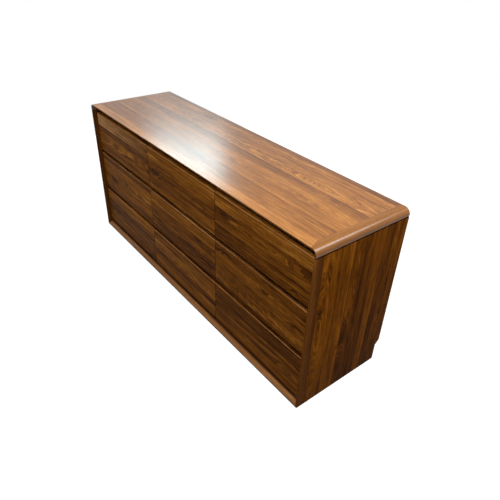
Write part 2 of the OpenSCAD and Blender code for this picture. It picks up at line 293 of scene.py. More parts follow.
@dataclass(frozen=True)
class Panel:
    """The boards of one panel, in the order of the axis they follow, and the knots in them."""

    boards: tuple[Board, ...]
    knots: tuple[Knot, ...] = ()

    @property
    def width(self) -> float:
        """Width of all the boards together."""
        return sum(board.width for board in self.boards)

    def placed(self) -> list[tuple[float, Board]]:
        """Returns each board with its distance from the first board's edge."""
        widths = [board.width for board in self.boards]
        return [(sum(widths[:i]), board) for i, board in enumerate(self.boards)]

    def mirrored(self) -> "Panel":
        """Returns the panel with its boards in the opposite order and no knots."""
        return Panel(tuple(replace(board, lean=-board.lean) for board in reversed(self.boards)))


@dataclass(frozen=True)
class Timber:
    """Colours and figure of one kind of wood.

    Attributes:
        stops: Pairs of lightness and colour, from the darkest streak to the palest.
        streak: Strength of the fine lines along the grain.
        cloud: Strength of the slow drift of colour within a board.
        fleck: Strength of the short marks along the grain.
        pore: How much the pores darken the surface.
    """

    stops: tuple[tuple[float, Colour], ...]
    streak: float
    cloud: float
    fleck: float
    pore: float


WALNUT = Timber(
    stops=(
        (0.0, (0.035, 0.011, 0.003)),
        (0.25, (0.105, 0.036, 0.007)),
        (0.5, (0.210, 0.078, 0.014)),
        (0.75, (0.360, 0.150, 0.036)),
        (1.0, (0.560, 0.265, 0.085)),
    ),
    streak=1.15,
    cloud=0.45,
    fleck=0.50,
    pore=0.35,
)
PALE_HARDWOOD = Timber(
    stops=(
        (0.0, (0.36, 0.20, 0.085)),
        (0.5, (0.56, 0.37, 0.19)),
        (1.0, (0.72, 0.54, 0.33)),
    ),
    streak=0.5,
    cloud=0.3,
    fleck=0.2,
    pore=0.1,
)
PLYWOOD = Timber(
    stops=(
        (0.0, (0.22, 0.115, 0.05)),
        (0.5, (0.38, 0.225, 0.105)),
        (1.0, (0.52, 0.34, 0.18)),
    ),
    streak=0.6,
    cloud=0.45,
    fleck=0.3,
    pore=0.15,
)

# What the colour is multiplied by where a board's blush_and_sheen is 1: the cool cast of fresh
# heartwood on some boards, a painted sheen and a painted highlight on others. Then what it is
# multiplied by where a face shows its end: the darkness of end grain, and painted shade in the
# gaps between parts.
COOL_CAST_AND_SHEEN: Colour = (0.98, 1.2, 2.8)
END_GRAIN_AND_SHADE: Colour = (0.20, 0.12, 0.10)
# A face that turns to the grain's end begins to take this darkening, end grain and painted shade,
# at the first of these shares of its normal along the grain, and takes it wholly at the second.
END_TURN: tuple[float, float] = (0.4, 0.7)


@dataclass(frozen=True)
class Drift:
    """A noise about 0 whose cells are drawn out along the grain.

    Attributes:
        length: Size of its cells along the grain.
        width: Their size across the grain and into the wood.
        detail: How many finer noises are added to it.
        roughness: How strong the finer noises are.
    """

    length: float
    width: float
    detail: float
    roughness: float = 0.5

    def draw(self, g: Graph, place: Place) -> Socket:
        """Adds the noise to a graph.

        Args:
            g: The graph.
            place: Where the noise is read.

        Returns:
            The noise, of mean 0.
        """
        cell = g.vector(g.math("DIVIDE", place.along, self.length),
                        g.math("DIVIDE", place.across, self.width),
                        g.math("DIVIDE", place.depth, self.width))
        return g.math("SUBTRACT", g.noise(cell, self.detail, self.roughness), 0.5)


@dataclass(frozen=True)
class GrainGroup:
    """The node group that draws the figure of sawn wood.

    A face of a log that tapers is cut at a height over its heart that changes along the grain,
    so the growth rings, which are circles round the heart, meet the face in nested arches. The
    height levels off away from the arches' tip, and there the grain runs straight.

    Attributes:
        name: The group's name.
        inputs: The names of its inputs.
        outputs: The names of its outputs.
        sweep: Slow bend of the grain; `sweep_push` is how far it goes aside.
        wave: Short bend of the grain; `wave_push` is how far it goes aside.
        cloud: Slow drift of colour; `cloud_lift` is how much it lifts the cut over the heart.
        lines: Fine lines along the rings; `line_push` is how far they turn the rings aside.
        flecks: Short marks along the rings.
        fibres: The finest lines, of strength `fibre_strength`.
        pores: Short dark pores, which open from the first value of `pore_range` to the second.
        curl_cell: Length and width of a ripple, of slant `curl_slant` and strength
            `curl_strength`.
        heart_depth: Height of the cut over the heart at the arches' tip.
        arch_reach: Distance from the tip over which the height levels off.
        ring_pitch: Distance between growth rings.
        late_sharpness: How late and how suddenly a ring darkens to its late wood.
        late_mean: Mean darkness of a ring, given back so that a board keeps its tone.
        log_step: How far along the log one unit of seed lies.
    """

    name: str = "sawn_grain"
    inputs: tuple[str, ...] = (
        "Along", "Across", "Depth", "Seed", "Tone", "Heart", "ArchAt", "Slope", "Rings",
        "Curl", "KnotShift", "KnotShade", "Streak", "Cloud", "Fleck",
    )
    outputs: tuple[str, ...] = ("Lightness", "Pores", "Lines")

    sweep: Drift = Drift(0.55, 0.16, 1.0)
    sweep_push: float = 0.022
    wave: Drift = Drift(0.10, 0.040, 2.0)
    wave_push: float = 0.012
    cloud: Drift = Drift(0.26, 0.030, 2.0)
    cloud_lift: float = 0.03
    lines: Drift = Drift(0.40, 0.0060, 4.0, 0.66)
    line_push: float = 0.004
    flecks: Drift = Drift(0.065, 0.0075, 3.0, 0.64)
    fibres: Drift = Drift(0.030, 0.0011, 2.0, 0.6)
    fibre_strength: float = 0.14
    pores: Drift = Drift(0.009, 0.00032, 1.0)
    pore_range: tuple[float, float] = (0.11, 0.2)
    curl_cell: tuple[float, float] = (0.010, 0.022)
    curl_slant: float = 1.2
    curl_strength: float = 0.9

    heart_depth: float = 0.003
    arch_reach: float = 0.30
    ring_pitch: float = 0.0048
    late_sharpness: float = 3.0
    late_mean: float = 0.25
    log_step: float = 37.0

    def tree(self) -> bpy.types.NodeTree:
        """Makes the group on the first call.

        Returns:
            The group, the same one on every call.
        """
        found = bpy.data.node_groups.get(self.name)
        if found is not None:
            return found
        tree = bpy.data.node_groups.new(self.name, "ShaderNodeTree")
        for name in self.inputs:
            tree.interface.new_socket(name, in_out="INPUT", socket_type="NodeSocketFloat")
        for name in self.outputs:
            tree.interface.new_socket(name, in_out="OUTPUT", socket_type="NodeSocketFloat")
        self._draw(Graph(tree))
        return tree

    def _draw(self, g: Graph) -> None:
        """Draws the group's nodes.

        Args:
            g: The group's graph.
        """
        given = g.add("NodeGroupInput").outputs
        along = g.math("MULTIPLY_ADD", given["Seed"], self.log_step, given["Along"])
        bent = self._bend(g, Place(along, given["Across"], given["Depth"]))
        cloud = self.cloud.draw(g, bent)
        ring = bent._replace(across=self._ring_radius(g, given, bent.across, cloud))
        lines = self.lines.draw(g, ring)
        flecks = self.flecks.draw(g, ring)
        fibres = self.fibres.draw(g, bent)
        late = self._late_wood(g, ring.across, lines)
        curl = g.math("MULTIPLY", self._ripples(g, bent), given["Curl"])

        light = given["Tone"]
        for mark, strength in (
            (lines, given["Streak"]), (cloud, given["Cloud"]), (flecks, given["Fleck"]),
            (fibres, self.fibre_strength),
            (g.math("SUBTRACT", self.late_mean, late), given["Rings"]),
            (curl, self.curl_strength),
        ):
            light = g.math("MULTIPLY_ADD", mark, strength, light)
        light = g.math("SUBTRACT", light, given["KnotShade"])

        pores = self.pores.draw(g, bent)
        out = g.add("NodeGroupOutput").inputs
        g.feed(out["Lightness"], light)
        g.feed(out["Pores"], g.span(pores, *self.pore_range))
        g.feed(out["Lines"], lines)

    def _bend(self, g: Graph, place: Place) -> Place:
        """Bends the grain: the place across it is moved by the slow sweep and the short wave.

        Args:
            g: The group's graph.
            place: The place in straight grain.

        Returns:
            The place in the bent grain.
        """
        sweep = self.sweep.draw(g, place)
        wave = self.wave.draw(g, place)
        bent = g.math("MULTIPLY_ADD", sweep, self.sweep_push, place.across)
        return place._replace(across=g.math("MULTIPLY_ADD", wave, self.wave_push, bent))

    def _ring_radius(self, g: Graph, given: Mapping[str, Socket], bent: Socket,
                     cloud: Socket) -> Socket:
        """Works out the distance from the log's heart.

        It is the root of the sum of two squares: the distance across the grain from the heart
        line, and the height of the cut over it. The height is the slope times a hyperbolic
        tangent of the distance along the grain from the arches' tip, so it levels off.

        Args:
            g: The group's graph.
            given: The group's inputs.
            bent: The place across the bent grain.
            cloud: The slow drift of colour, which makes the cut a little uneven.

        Returns:
            The radius of the growth ring at the place, moved aside near a knot.
        """
        off_heart = g.math("SUBTRACT", bent, given["Heart"])
        away = g.math("DIVIDE", g.math("SUBTRACT", given["Along"], given["ArchAt"]),
                      self.arch_reach)
        level = g.math("MULTIPLY", g.math("TANH", away), self.arch_reach)
        rise = g.math("MULTIPLY", level, given["Slope"])
        height = g.math("MULTIPLY_ADD", cloud, self.cloud_lift,
                        g.math("ADD", rise, self.heart_depth))
        squares = g.math("ADD", g.math("MULTIPLY", off_heart, off_heart),
                         g.math("MULTIPLY", height, height))
        return g.math("ADD", g.math("SQRT", squares), given["KnotShift"])

    def _late_wood(self, g: Graph, radius: Socket, lines: Socket) -> Socket:
        """Works out how dark the late wood is: a power of the place within a growth ring.

        Args:
            g: The group's graph.
            radius: The distance from the heart.
            lines: The fine lines, which turn the ring aside.

        Returns:
            The darkness, from 0 at a ring's start to 1 at its end.
        """
        turned = g.math("MULTIPLY_ADD", lines, self.line_push, radius)
        ring = g.math("FRACT", g.math("DIVIDE", turned, self.ring_pitch))
        return g.math("POWER", ring, self.late_sharpness)

    def _ripples(self, g: Graph, place: Place) -> Socket:
        """Draws ripples that run across the grain at a slant.

        Args:
            g: The group's graph.
            place: The place in the bent grain.

        Returns:
            The ripples, of mean 0.
        """
        slant = g.math("MULTIPLY_ADD", place.across, self.curl_slant, place.along)
        length, width = self.curl_cell
        cell = g.vector(g.math("DIVIDE", slant, length),
                        g.math("DIVIDE", place.across, width), 0.0)
        return g.math("SUBTRACT", g.noise(cell, detail=1.0), 0.5)


# ---- finishes ----


@dataclass(frozen=True)
class Look:
    """How a wood is toned and lacquered.

    Attributes:
        tint: What the timber's colour is multiplied by.
        figure: What the strength of its figure is multiplied by.
        roughness: Mean roughness of the lacquer.
        gloss: Its specular level.
        relief: How much of the pores' depth it leaves open, from 0 to 1.
        pore_depth: Depth of the pores under it.
        polish: How much smoother it is over a pale line of the wood than over a dark one.
    """

    tint: Colour = (1.0, 1.0, 1.0)
    figure: float = 1.0
    roughness: float = 0.36
    gloss: float = 0.3
    relief: float = 0.25
    pore_depth: float = 0.0001
    polish: float = 0.12


@dataclass(frozen=True)
class BoardFinish:
    """Lacquered boards side by side, each with its own tone and figure.

    Attributes:
        name: The material's name.
        timber: The kind of wood.
        lay: How the boards lie.
        start: Where the first board begins, along the axis of their width.
        panel: The boards and their knots.
        seed: Where in the log the boards were cut.
        look: How the wood is toned and lacquered.
        joint: Width of a joint between boards, as a share of the panel.
        seed_turn: How much the seed grows from board to board, a golden step.
    """

    name: str
    timber: Timber
    lay: Lay
    start: float
    panel: Panel
    seed: float
    look: Look
    joint: float = 0.0002
    seed_turn: float = 0.618034

    def material(self) -> bpy.types.Material:
        """Builds the material.

        Returns:
            A material whose colour, roughness and relief follow the boards.
        """
        made = bpy.data.materials.new(self.name)
        made.use_nodes = True
        g = Graph(made.node_tree)
        ways = g.add("ShaderNodeTexCoord").outputs
        axes = g.add("ShaderNodeSeparateXYZ", {0: ways["Object"]}).outputs
        place = Place(*(axes[i] for i in self.lay.value))
        grain, blush_and_sheen = self._grain(g, place)
        light, pores, lines = grain.outputs
        colour = self._colour(g, light, pores, blush_and_sheen, ways["Normal"])
        relief = g.add(
            "ShaderNodeBump",
            {"Height": g.math("MULTIPLY", pores, -1.0), "Strength": self.look.relief,
             "Distance": self.look.pore_depth},
        )
        roughness = g.math("MULTIPLY_ADD", lines, -self.look.polish, self.look.roughness)
        shader = g.add(
            "ShaderNodeBsdfPrincipled",
            {"Base Color": colour, "Roughness": roughness, "Normal": relief.outputs[0],
             "Specular IOR Level": self.look.gloss},
        )
        g.add("ShaderNodeOutputMaterial", {"Surface": shader.outputs[0]})
        return made

    def _grain(self, g: Graph, place: Place) -> tuple[bpy.types.Node, Socket]:
        """Draws the figure of each board at its own place.

        Args:
            g: The material's graph.
            place: Where the figure is read.

        Returns:
            The node of the grain group, and each board's blush_and_sheen: cool cast and painted
            sheen.
        """
        share = g.span(place.across, self.start, self.start + self.panel.width)
        tone, slope, rings = g.channels(g.ramp(share, self._tones()))
        curl, seed, rise = g.channels(g.ramp(share, self._traits(), steps=True))
        arch_at, heart, blush_and_sheen = g.channels(g.ramp(share, self._places(), steps=True))
        shift, shade = self._knots(g, place)
        grain = g.add("ShaderNodeGroup", node_tree=GrainGroup().tree())
        for name, value in {
            "Along": place.along, "Across": place.across, "Depth": place.depth,
            "Seed": g.math("ADD", seed, self.seed),
            "Tone": g.math("MULTIPLY_ADD", unpacked(g, rise), place.along, tone),
            "Heart": unpacked(g, heart), "ArchAt": unpacked(g, arch_at),
            "Slope": slope, "Rings": rings, "Curl": curl,
            "KnotShift": shift, "KnotShade": shade,
            "Streak": self.timber.streak * self.look.figure,
            "Cloud": self.timber.cloud * self.look.figure,
            "Fleck": self.timber.fleck * self.look.figure,
        }.items():
            g.feed(grain.inputs[name], value)
        return grain, blush_and_sheen

    def _colour(self, g: Graph, light: Socket, pores: Socket, blush_and_sheen: Socket,
                normal: Socket) -> Socket:
        """Turns the figure's lightness into colour.

        Args:
            g: The material's graph.
            light: The figure's lightness.
            pores: Where the pores are open.
            blush_and_sheen: How much cool cast the board has, of heartwood and of painted sheen.
            normal: Which way the face looks.

        Returns:
            The colour of the wood, darker where the face shows the end of the grain: end grain, and
            painted shade in the gaps between parts.
        """
        colour = g.ramp(light, self.timber.stops)
        darkest = self.timber.stops[0][1]
        colour = g.blend(g.math("MULTIPLY", pores, self.timber.pore), colour, darkest)
        colour = g.blend(1.0, colour, self.look.tint, "MULTIPLY")
        colour = g.blend(blush_and_sheen, colour, COOL_CAST_AND_SHEEN, "MULTIPLY")
        # End faces are darkened: partly end grain, partly painted shade in the gaps between parts.
        facing = g.add("ShaderNodeSeparateXYZ", {0: normal}).outputs
        end = g.math("ABSOLUTE", facing[self.lay.grain_axis])
        return g.blend(g.span(end, *END_TURN), colour, END_GRAIN_AND_SHADE, "MULTIPLY")

    def _knots(self, g: Graph, place: Place) -> tuple[Value, Value]:
        """Adds up what the knots do.

        Args:
            g: The material's graph.
            place: The place.

        Returns:
            How far they push the growth rings aside, and how much they darken.
        """
        shift: Value = 0.0
        shade: Value = 0.0
        for knot in self.panel.knots:
            near = knot.nearness(g, place)
            shift = g.math("MULTIPLY_ADD", near, knot.turn * knot.size, shift)
            shade = g.math("MULTIPLY_ADD", g.math("POWER", near, knot.core), knot.dark, shade)
        return shift, shade

    def _tones(self) -> list[tuple[float, Colour]]:
        """Lists ramp stops at both edges of each board.

        Returns:
            Stops that hold tone, slope and rings.
        """
        total = self.panel.width
        stops = []
        for start, board in self.panel.placed():
            edges = ((start / total + self.joint, -1), ((start + board.width) / total, 1))
            for place, side in edges:
                tone = board.tone + side * board.lean / 2
                stops.append((min(place, 1.0), (tone, board.slope, board.rings)))
        return stops

    def _traits(self) -> list[tuple[float, Colour]]:
        """Lists a ramp stop at each board's start.

        Returns:
            Stops that hold curl, seed and packed rise.
        """
        total = self.panel.width
        return [
            (start / total, (board.curl, (i * self.seed_turn) % 1.0, packed(board.rise)))
            for i, (start, board) in enumerate(self.panel.placed())
        ]

    def _places(self) -> list[tuple[float, Colour]]:
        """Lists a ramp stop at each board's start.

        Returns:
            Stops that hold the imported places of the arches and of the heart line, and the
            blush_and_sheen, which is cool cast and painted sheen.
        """
        total = self.panel.width
        stops = []
        for start, board in self.panel.placed():
            heart = self.start + start + board.width / 2 + board.heart
            stops.append((start / total, (packed(board.arch_at), packed(heart), board.blush_and_sheen)))
        return stops


@dataclass(frozen=True)
class PlainFinish:
    """A plain metal or plastic with a slight unevenness.

    Attributes:
        name: The material's name.
        colour: Its palest colour.
        roughness: Its mean roughness.
        metallic: 1 for a metal.
        cell: Size of the unevenness.
        shade: Its darkest colour as a share of the palest.
        patches: Values of the noise at which it is darkest and palest.
        swing: How far its roughness varies.
    """

    name: str
    colour: Colour
    roughness: float
    metallic: float = 0.0
    cell: float = 0.002
    shade: float = 0.8
    patches: tuple[float, float] = (0.3, 0.7)
    swing: float = 0.2

    def material(self) -> bpy.types.Material:
        """Builds the material.

        Returns:
            A material whose colour and roughness vary slightly.
        """
        made = bpy.data.materials.new(self.name)
        made.use_nodes = True
        g = Graph(made.node_tree)
        place = g.add("ShaderNodeTexCoord").outputs["Object"]
        scaled = g.add("ShaderNodeVectorMath", {0: place, "Scale": 1 / self.cell},
                       operation="SCALE")
        patch = g.noise(scaled.outputs[0], detail=3.0)
        dark = tuple(self.shade * channel for channel in self.colour)
        least = self.roughness - self.swing / 2
        shader = g.add(
            "ShaderNodeBsdfPrincipled",
            {"Base Color": g.blend(g.span(patch, *self.patches), dark, self.colour),
             "Roughness": g.math("MULTIPLY_ADD", patch, self.swing, least),
             "Metallic": self.metallic},
        )
        g.add("ShaderNodeOutputMaterial", {"Surface": shader.outputs[0]})
        return made


def dress(node: str, finish: BoardFinish | PlainFinish) -> None:
    """Gives a CAD node a finish in place of its plain one.

    Args:
        node: The node's name.
        finish: The finish.
    """
    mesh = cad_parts[node].data
    mesh.materials.clear()
    mesh.materials.append(finish.material())
    log.info("dressed %s with %s", node, finish.name)


def dress_panel(node: str, name: str, timber: Timber, lay: Lay, panel: Panel, seed: float,
                look: Look) -> None:
    """Dresses a CAD node with a panel's boards, the first of them at the node's low edge."""
    low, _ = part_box(node)
    dress(node, BoardFinish(name, timber, lay, low[lay.width_axis], panel, seed, look))


def dress_plain(node: str, name: str, timber: Timber, lay: Lay, seed: float,
                look: Look = Look(), tone: float = 0.5) -> None:
    """Dresses a CAD node as one plain board.

    Args:
        node: The node's name.
        name: The material's name.
        timber: The kind of wood.
        lay: How the board lies.
        seed: Where in the log it was cut.
        look: How the wood is toned and lacquered.
        tone: The board's tone.
    """
    low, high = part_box(node)
    width = high[lay.width_axis] - low[lay.width_axis]
    dress_panel(node, name, timber, lay, Panel((Board(width, tone),)), seed, look)


# ---- the dresser ----


@dataclass
class Top:
    """The top panel, its front lipping and the mouldings that turn its corners."""

    panel: Panel = Panel(
        boards=(
            Board(0.095, 0.50, -0.12, heart=0.05, arch_at=0.3, rise=0.06),
            Board(0.017, 0.60, rise=0.06),
            Board(0.040, 0.55, rise=0.06),
            Board(0.062, 0.59, 0.10, heart=-0.02, arch_at=0.45, slope=0.1, rings=0.2, rise=0.06),
            Board(0.053, 0.42, -0.16, heart=0.06, rise=0.06),
            Board(0.090, 0.57, -0.08, heart=-0.014, arch_at=0.62, slope=0.19, rings=0.35,
                  rise=0.06),
            Board(0.055, 0.54, 0.16, heart=0.03, arch_at=-0.1, slope=0.1, rings=0.2, rise=0.06),
            Board(0.033, 0.37),
        ),
        knots=(Knot(0.315, 0.090, 0.008, 0.25), Knot(-0.353, 0.189, 0.018, 0.3),
               Knot(-0.70, 0.105, 0.016, 0.0, 2.0), Knot(0.70, 0.045, 0.009, 0.12),
               Knot(0.02, 0.198, 0.010, 0.2)),
    )
    lipping: Panel = Panel((Board(0.045, 0.72, rise=0.02),))
    # The last strip, on the lower part of the round, is darker towards the side: painted shade.
    moulding: Panel = Panel((Board(0.039, 0.50), Board(0.006, 0.42, -0.18)))
    look: Look = Look((1.04, 0.975, 0.73), figure=0.92, roughness=0.225)
    moulding_look: Look = Look((1.0, 0.98, 0.74), figure=0.45, roughness=0.31, gloss=0.31,
                               relief=0.05)

    def build(self) -> None:
        """Dresses the pieces of the top."""
        for node, name, panel, seed in (
            ("top_panel", "walnut_top", self.panel, 0.1),
            ("top_lipping", "walnut_lipping", self.lipping, 0.7),
        ):
            dress_panel(node, name, WALNUT, Lay.FLAT, panel, seed, self.look)
        for side, panel in zip(SIDES, (self.moulding.mirrored(), self.moulding)):
            dress_panel(f"corner_moulding_{side}", f"walnut_moulding_{side}", WALNUT,
                        Lay.RUNNING_BACK, panel, seed=0.3, look=self.moulding_look)


@dataclass
class Ends:
    """The two sides with their front stiles."""

    panel: Panel = Panel(
        boards=(
            Board(0.062, 0.44, 0.04, heart=-0.008, arch_at=0.40, slope=0.2, rings=0.22),
            Board(0.018, 0.38),
            Board(0.030, 0.38, heart=-0.06, arch_at=0.5),
            Board(0.045, 0.43, 0.16),
            Board(0.130, 0.12, -0.04, heart=-0.045, arch_at=0.10, slope=0.2, rings=0.12, rise=0.25),
            Board(0.042, 0.40, 0.10),
            Board(0.078, 0.13, 0.08, heart=0.03, arch_at=0.6, rise=0.19),
            Board(0.045, 0.30),
        ),
        knots=(Knot(0.49, -0.185, 0.009, 0.3), Knot(0.63, -0.115, 0.008, 0.15, 0.6),
               Knot(0.30, -0.035, 0.016, 0.12)),
    )
    left_stile: Panel = Panel((Board(0.040, 0.16),))
    right_stile: Panel = Panel((Board(0.008, 0.31, rise=0.2), Board(0.032, 0.28, -0.16)))
    look: Look = Look((1.0, 0.82, 0.27), figure=1.1, gloss=0.003)
    stile_look: Look = Look((0.98, 0.90, 0.85), figure=0.5, gloss=0.003)

    def build(self) -> None:
        """Dresses the sides and their stiles."""
        stiles = (self.left_stile, self.right_stile)
        for side, stile, seed in zip(SIDES, stiles, (0.9, 0.2)):
            dress_panel(f"side_panel_{side}", f"walnut_side_{side}", WALNUT, Lay.SIDE,
                        self.panel, seed, self.look)
            dress_panel(f"side_stile_{side}", f"walnut_stile_{side}", WALNUT, Lay.SIDE, stile,
                        seed=0.4, look=self.stile_look)


@dataclass
class Carcase:
    """What the top and the sides hold: panels, partitions, rails, runners and fixings."""

    # From its front face back: the dark front face and the dark top under the lowest fronts are
    # painted shade. The tint's strong blue is partly a painted sheen on the splay.
    rail: Panel = Panel((Board(0.0005, 0.25), Board(0.0165, 0.57), Board(0.028, 0.09)))
    rail_look: Look = Look((0.93, 0.98, 1.30), figure=0.6, gloss=0.12)
    # The inner walnut is paler and redder than most of the case: partly its own colour, partly
    # painted light in the shaded recesses behind the gaps.
    inner_tone: float = 0.58
    inner_look: Look = Look((1.15, 0.62, 0.42), gloss=0.02)
    runner_look: Look = Look(roughness=0.5)
    zinc: Colour = (0.62, 0.62, 0.60)
    zinc_roughness: float = 0.35
    nylon: Colour = (0.72, 0.69, 0.62)
    nylon_roughness: float = 0.5

    def build(self) -> None:
        """Dresses the pieces of the carcase."""
        dress_panel("bottom_rail", "walnut_bottom_rail", WALNUT, Lay.FLAT, self.rail, seed=0.5,
                    look=self.rail_look)
        self._inner_walnut()
        for node, lay in (("bottom_panel", Lay.FLAT), ("back_panel", Lay.BACK)):
            dress_plain(node, f"plywood_{node}", PLYWOOD, lay, seed=0.15)
        for node in (*(f"runners_{column}" for column in COLUMNS), "case_dowels"):
            dress_plain(node, f"hardwood_{node}", PALE_HARDWOOD, Lay.RUNNING_BACK, seed=0.25,
                        look=self.runner_look)
        for node in ("runner_screws", "back_screws"):
            dress(node, PlainFinish(f"zinc_{node}", self.zinc, self.zinc_roughness, metallic=1.0))
        dress("glides", PlainFinish("nylon_glides", self.nylon, self.nylon_roughness))

    def _inner_walnut(self) -> None:
        """Dresses the partitions and the cross rails."""
        partitions = [(f"partition_{side}", f"walnut_partition_{side}", Lay.SIDE, 0.6)
                      for side in SIDES]
        rails = [(f"{place}_cross_rails", f"walnut_{place}_rails", Lay.FLAT, 0.8)
                 for place in ("top", "upper", "lower")]
        for node, name, lay, seed in partitions + rails:
            dress_plain(node, name, WALNUT, lay, seed, self.inner_look, self.inner_tone)


# The boards of each front, from its lower edge up.
FRONTS: dict[str, Panel] = {
    "top_left": Panel(
        (Board(0.037, 0.47),
         Board(0.079, 0.51, 0.08, heart=0.010, arch_at=-0.93, slope=0.15, rings=0.3),
         # The two upper boards are lighter and cooler towards the left: a painted sheen.
         Board(0.033, 0.17, 0.14, rise=-0.3, blush_and_sheen=0.5),
         Board(0.066, 0.17, 0.16, rise=-0.88, blush_and_sheen=0.9)),
        (Knot(-0.67, 0.600, 0.010, 0.25),),
    ),
    "top_center": Panel(
        (Board(0.064, 0.49, rise=0.15),
         Board(0.092, 0.37, -0.02, heart=-0.02, arch_at=0.05, slope=0.06, rings=0.25),
         Board(0.059, 0.63, heart=-0.07)),
        (Knot(-0.23, 0.612, 0.013, 0.2),),
    ),
    "top_right": Panel(
        (Board(0.074, 0.26, -0.02, heart=0.05, arch_at=0.4),
         Board(0.082, 0.35, -0.26, heart=0.012, arch_at=0.60, slope=0.09, rings=0.3),
         Board(0.059, 0.61, -0.12, curl=0.5)),
        (Knot(0.355, 0.653, 0.010, 0.25, 0.5), Knot(0.80, 0.640, 0.011, 0.1, 0.8),
         Knot(0.80, 0.543, 0.006, 0.2)),
    ),
    "middle_left": Panel(
        (Board(0.038, 0.35, -0.10), Board(0.035, 0.62), Board(0.038, 0.41, -0.10),
         Board(0.072, 0.6, 0.04, heart=-0.040, arch_at=-0.75, slope=0.17, rings=0.3),
         Board(0.032, 0.25)),
        (Knot(-0.744, 0.368, 0.015, 0.35),),
    ),
    "middle_center": Panel(
        (Board(0.076, 0.22, heart=0.03, arch_at=-0.1, slope=0.1, rings=0.2, rise=-0.25),
         Board(0.077, 0.38, -0.06, heart=-0.06, rise=-0.25), Board(0.062, 0.54, -0.14, rise=-0.25)),
        (Knot(0.15, 0.417, 0.012, 0.3, 0.8), Knot(0.24, 0.408, 0.008, 0.2, 0.8),
         Knot(0.18, 0.362, 0.006, -0.12)),
    ),
    "middle_right": Panel(
        (Board(0.016, 0.18),
         Board(0.071, 0.44, heart=-0.03, arch_at=0.30, slope=0.1, curl=0.9, rings=0.25),
         Board(0.074, 0.38, heart=0.02, arch_at=0.62), Board(0.054, 0.33, curl=0.4)),
        (Knot(0.633, 0.425, 0.009, 0.35), Knot(0.83, 0.384, 0.012, 0.3),
         Knot(0.36, 0.468, 0.012, 0.2)),
    ),
    "bottom_left": Panel(
        (Board(0.070, 0.39, 0.04), Board(0.086, 0.33, 0.08, heart=0.07, blush_and_sheen=0.35),
         Board(0.059, 0.63, 0.06)),
        (Knot(-0.745, 0.150, 0.016, 0.15),),
    ),
    "bottom_center": Panel(
        (Board(0.070, 0.47, rise=-0.25), Board(0.036, 0.29, rise=-0.25),
         Board(0.058, 0.53, heart=-0.027, arch_at=-0.12, slope=0.13, rings=0.35, rise=-0.25),
         Board(0.051, 0.47, heart=-0.07, arch_at=-0.12, slope=0.13, rings=0.25, rise=-0.25)),
    ),
    "bottom_right": Panel(
        (Board(0.062, 0.44, 0.14), Board(0.077, 0.35, heart=0.04, rings=0.2),
         Board(0.076, 0.29, -0.06)),
        (Knot(0.80, 0.130, 0.015, 0.12, 1.8),),
    ),
}

# How far in the log each drawer's boards lie from the next drawer's.
DRAWER_STEP = 0.11
# Tone of the fronts' upper edges in each row: the top row's, the palest, are painted light, and
# those of the other rows, in the gaps, are painted shade.
EDGE_SHADING_TONES: dict[str, float] = {"top": 0.66, "middle": 0.25, "bottom": 0.25}


@dataclass
class Drawer:
    """One drawer: its front, the pair of box sides, the box back and the bottom.

    Attributes:
        row: Its row.
        column: Its column.
        seed: Where in the log its boards were cut.
        look: How the front is toned and lacquered.
        arris_highlight: The strip along the front's upper arris, made pale and cool as a painted
            highlight.
        edge_shading_strip: Width of the last strip, too narrow to show on the face, whose tone the
            upper edge takes: painted light on the top row, painted shade on the others.
        box_look: How the box is toned and lacquered.
    """

    row: str
    column: str
    seed: float
    look: Look = Look((1.0, 0.89, 0.50), figure=1.35, gloss=0.006)
    arris_highlight: Board = Board(0.0026, 1.0, rings=0.0, blush_and_sheen=1.0)
    edge_shading_strip: float = 0.0001
    box_look: Look = Look(roughness=0.45)

    @property
    def name(self) -> str:
        """The drawer's place in the dresser, as its nodes name it."""
        return f"{self.row}_{self.column}"

    def build(self) -> None:
        """Dresses the drawer's pieces."""
        dress_panel(f"drawer_{self.name}_front", f"walnut_front_{self.name}", WALNUT, Lay.FRONT,
                    self._painted_edges(), self.seed, self.look)
        for part, timber, lay in (("sides", PALE_HARDWOOD, Lay.BOX_SIDE),
                                  ("back", PALE_HARDWOOD, Lay.FRONT),
                                  ("bottom", PLYWOOD, Lay.FLAT)):
            dress_plain(f"drawer_{self.name}_{part}", f"{part}_{self.name}", timber, lay,
                        self.seed, self.box_look)

    def _painted_edges(self) -> Panel:
        """Cuts the front's last board back for the arris's painted highlight and the edge's painted
        light and shade.

        Returns:
            The front's boards with those two strips.
        """
        panel = FRONTS[self.name]
        *lower, last = panel.boards
        edge = Board(self.edge_shading_strip, EDGE_SHADING_TONES[self.row])
        # The arris strip is a painted highlight; the edge strip above it is painted light and
        # shade.
        cut = replace(last, width=last.width - self.arris_highlight.width - edge.width)
        return Panel((*lower, cut, self.arris_highlight, edge), panel.knots)


# ---- the studio ----


@dataclass(frozen=True)
class Softbox:
    """A rectangular lamp that faces the dresser.

    Attributes:
        name: The lamp's name.
        place: Where it stands.
        aim: What it points at.
        size: Its width and height.
        power: Its power in watts.
        colour: The colour of its light.
    """

    name: str
    place: tuple[float, float, float]
    aim: tuple[float, float, float]
    size: tuple[float, float]
    power: float
    colour: Colour = (1.0, 1.0, 1.0)

    def build(self) -> None:
        """Makes the lamp."""
        lamp = bpy.data.lights.new(self.name, "AREA")
        lamp.shape = "RECTANGLE"
        lamp.size, lamp.size_y = self.size
        lamp.energy = self.power
        lamp.color = self.colour
        holder = bpy.data.objects.new(self.name, lamp)
        holder.location = self.place
        holder.rotation_euler = (
            (Vector(self.aim) - Vector(self.place)).to_track_quat("-Z", "Y").to_euler()
        )
        bpy.context.scene.collection.objects.link(holder)
        log.info("lamp %s", self.name)


